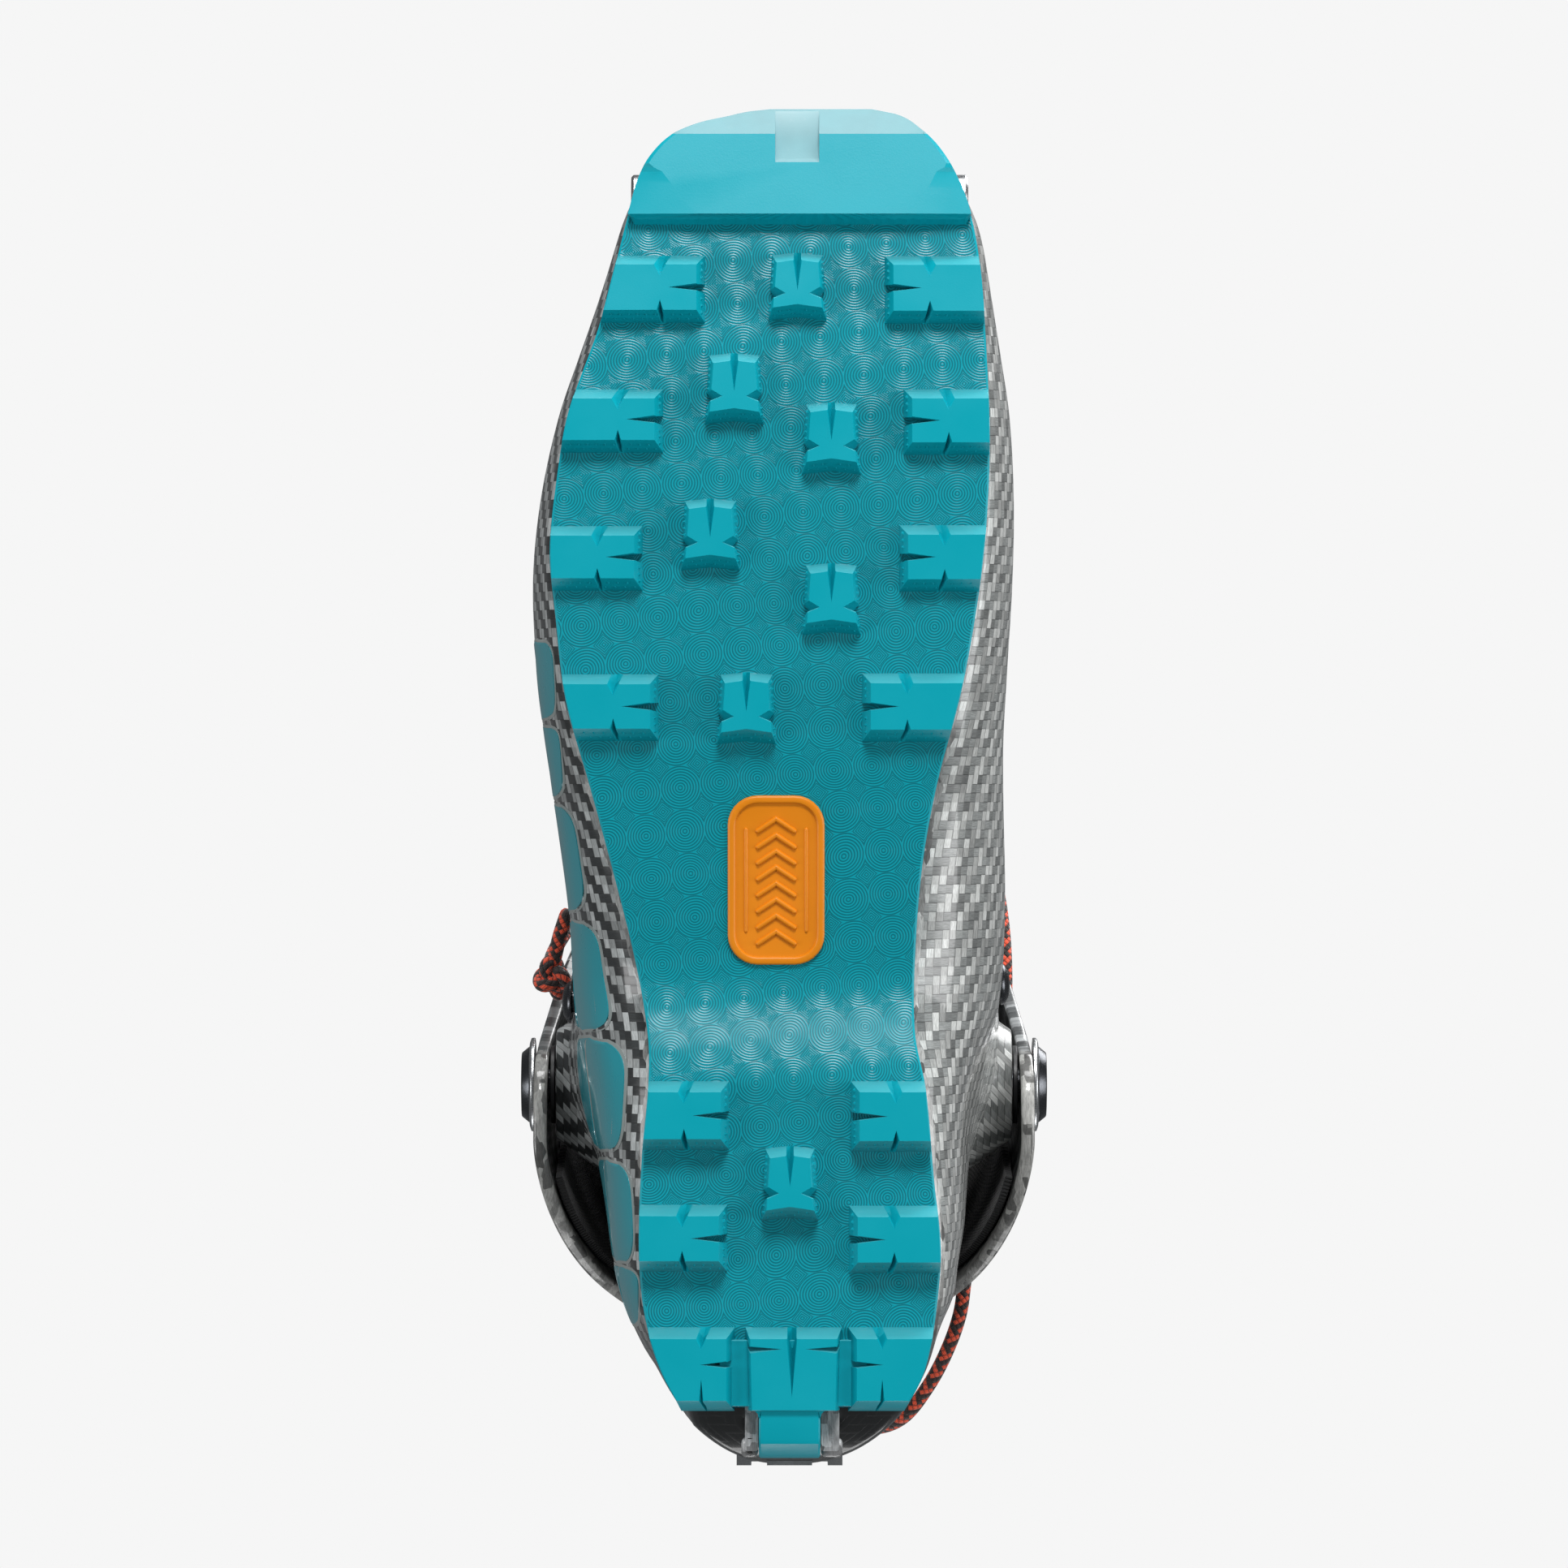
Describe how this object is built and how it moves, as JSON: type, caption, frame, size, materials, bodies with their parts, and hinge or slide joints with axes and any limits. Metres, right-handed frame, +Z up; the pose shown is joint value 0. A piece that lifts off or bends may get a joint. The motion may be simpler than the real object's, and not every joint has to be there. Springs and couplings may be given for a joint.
{
  "type": "alpine touring boot",
  "caption": "Right-foot alpine touring boot: lugged rubber sole, woven carbon lower shell, hinged carbon cuff, inner boot, dial-laced instep and a cord and lever that close and lock the cuff.",
  "frame": {"origin": "bottom centre of the bounding box, on the ground under the middle of the boot", "axes": "toe towards -Y, heel towards +Y, big-toe side +X, little-toe side -X, +Z up the leg"},
  "size_m": [0.1188, 0.2965, 0.3301],
  "materials": {
    "sole_rubber": "matt moulded rubber",
    "badge_rubber": "satin moulded rubber",
    "carbon": "clear-coated woven carbon",
    "steel": "brushed",
    "pivot_metal": "turned and polished",
    "black_plastic": "moulded",
    "inner_boot": "foam faced with knit",
    "footbed_fabric": "felted",
    "black_fabric": "woven stretch",
    "lace": "coated braided lace",
    "red_cord": "braided",
    "teal_plastic": "anodised look, satin"
  },
  "bodies": {
    "lower_boot": {"outsole": "sole_rubber", "sole_badge": "badge_rubber", "lower_shell": "carbon", "toe_fitting_lateral": "steel", "toe_fitting_medial": "steel", "heel_fitting": "steel", "heel_fitting_screw": "steel", "boot_board": "black_plastic", "footbed": "footbed_fabric", "liner_foot": "inner_boot", "instep_gaiter": "black_fabric", "reel_base": "black_plastic", "lace_guide_lateral_front": "black_plastic", "lace_guide_medial_front": "black_plastic", "lace_guide_lateral_back": "black_plastic", "lace_guide_medial_back": "black_plastic", "instep_lace": "lace", "lock_catch": "steel", "lock_catch_screw_1": "steel", "lock_catch_screw_2": "steel", "pivot_nut_lateral": "steel", "pivot_nut_medial": "steel", "gaiter_rivet_lateral": "black_plastic", "gaiter_rivet_medial": "black_plastic"},
    "cuff": {"cuff": "carbon", "cuff_pad": "black_fabric", "pivot_bolt_lateral": "pivot_metal", "pivot_bolt_medial": "pivot_metal", "pivot_washer_lateral": "black_plastic", "pivot_washer_medial": "black_plastic", "shin_flap": "black_plastic", "liner_shaft": "inner_boot", "liner_pull_loop": "black_fabric", "cord_guide_lateral_low": "black_plastic", "cord_guide_medial_low": "black_plastic", "cord_guide_lateral_high": "black_plastic", "cord_guide_medial_high": "black_plastic", "cord_guide_medial_back": "black_plastic", "closure_cord_front": "red_cord", "closure_cord_back": "red_cord", "cord_knot": "red_cord", "cord_tail": "red_cord", "lever_bracket": "black_plastic", "lever_pin": "steel"},
    "lever": {"ski_walk_lever": "teal_plastic"},
    "reel_core": {"reel_core": "steel"},
    "reel_dial": {"reel_dial": "black_plastic"}
  },
  "joints": [
    {"name": "cuff_flex", "type": "hinge", "parent": "lower_boot", "child": "cuff", "pos_m": [0, 0.06605, 0.103], "axis": [1, 0, 0], "range_deg": [-25, 28], "deforming": ["liner_shaft"]},
    {"name": "lever_turn", "type": "hinge", "parent": "cuff", "child": "lever", "pos_m": [0, 0.13805, 0.163], "axis": [-1, 0, 0], "range_deg": [0, 162], "deforming": ["closure_cord_back"]},
    {"name": "reel_pull", "type": "slide", "parent": "lower_boot", "child": "reel_core", "axis": [0.0056, -0.536, 0.8442], "range_m": [0, 0.003]},
    {"name": "reel_turn", "type": "hinge", "parent": "reel_core", "child": "reel_dial", "pos_m": [0, -0.01795, 0.10522], "axis": [0.0056, -0.536, 0.8442], "continuous": true}
  ]
}
